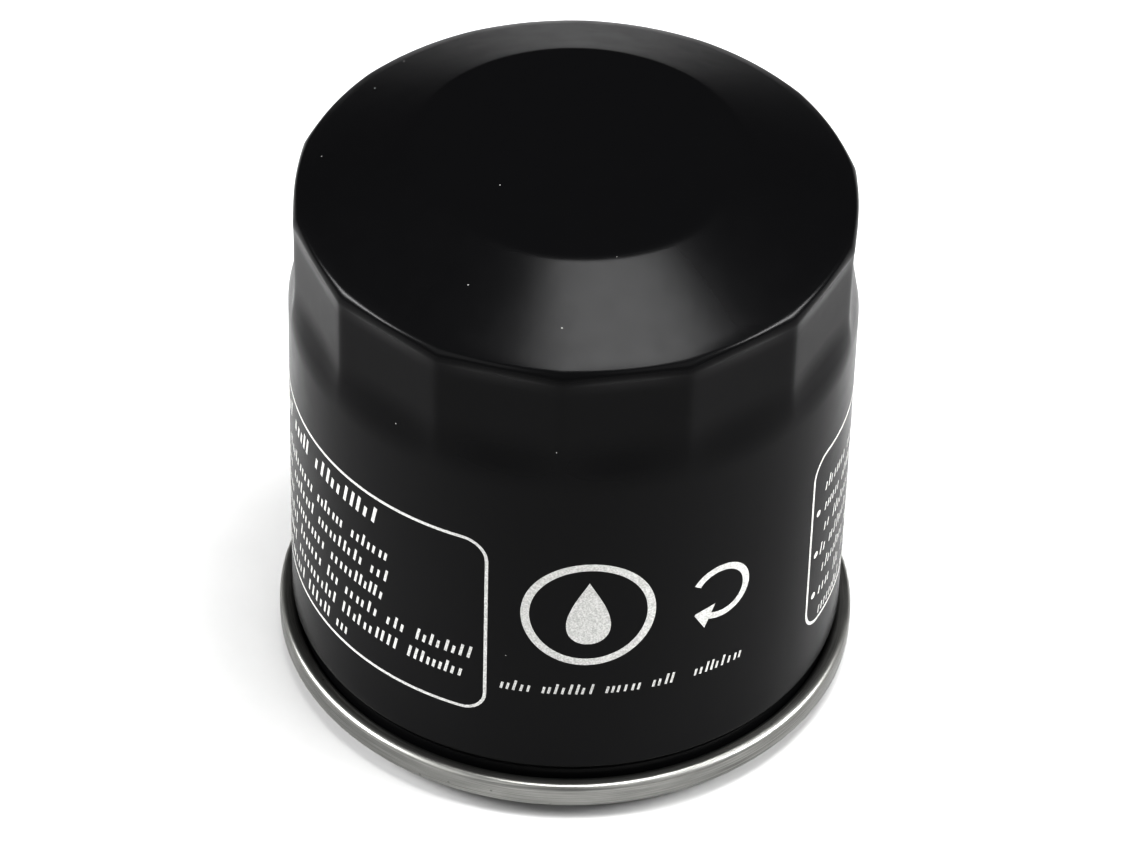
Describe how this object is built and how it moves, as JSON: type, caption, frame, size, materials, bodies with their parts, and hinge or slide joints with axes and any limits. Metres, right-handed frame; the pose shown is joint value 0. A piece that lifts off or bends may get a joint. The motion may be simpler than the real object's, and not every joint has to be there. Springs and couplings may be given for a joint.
{
  "type": "oil filter",
  "caption": "Spin-on oil filter: drawn steel can with wrench flats, rolled seam lid, gasket, tapping plate, pleated element, anti-drain valve and sprung relief valve.",
  "frame": {"origin": "on the filter's axis, in the plane of the gasket's sealing face that the filter stands on", "axes": "+Z along the axis from the gasket to the domed end; a corner between two wrench flats points along -Y, which is the front; +X to the right"},
  "size_m": [0.068, 0.068, 0.0712],
  "materials": {
    "black_paint": "semi-gloss black baked enamel on drawn steel",
    "zinc_plate": "bare bright plated steel sheet, rolled",
    "steel_plate": "plain stamped steel, lightly oiled",
    "tin_plate": "tin-plated steel sheet, stamped",
    "spring_steel": "oil-tempered spring wire",
    "black_rubber": "moulded nitrile rubber, matt black",
    "red_rubber": "moulded silicone rubber, dull red",
    "filter_paper": "resin-treated pleated filter paper",
    "potting": "cured plastisol adhesive",
    "sealant": "dried seam compound"
  },
  "bodies": {
    "housing": {"canister": "black_paint", "seam_lid": "zinc_plate", "seam_sealant": "sealant", "sealing_gasket": "black_rubber", "base_plate": "steel_plate", "element_spring": "spring_steel"},
    "element": {"lower_end_cap": "tin_plate", "upper_end_cap": "tin_plate", "lower_potting": "potting", "upper_potting": "potting", "filter_media": "filter_paper", "media_seam_clip": "tin_plate", "center_tube": "tin_plate", "bypass_seat": "tin_plate", "bypass_cage": "tin_plate", "bypass_spring": "spring_steel"},
    "poppet": {"bypass_disc": "tin_plate", "bypass_seal": "black_rubber", "bypass_stem": "steel_plate"},
    "valve_skirt": {"anti_drain_valve": "red_rubber"}
  },
  "joints": [
    {"name": "element_float", "type": "slide", "parent": "housing", "child": "element", "axis": [0, 0, 1], "range_m": [0, 0.0015], "stiffness_N_per_m": 4000, "springref_m": -0.004, "deforming": ["element_spring"]},
    {"name": "bypass_opening", "type": "slide", "parent": "element", "child": "poppet", "axis": [0, 0, -1], "range_m": [0, 0.003], "stiffness_N_per_m": 500, "springref_m": -0.006, "deforming": ["bypass_spring"]},
    {"name": "skirt_lift", "type": "slide", "parent": "housing", "child": "valve_skirt", "axis": [0, 0, 1], "range_m": [0, 0.0012], "stiffness_N_per_m": 150, "springref_m": -0.004, "deforming": ["anti_drain_valve"]}
  ]
}
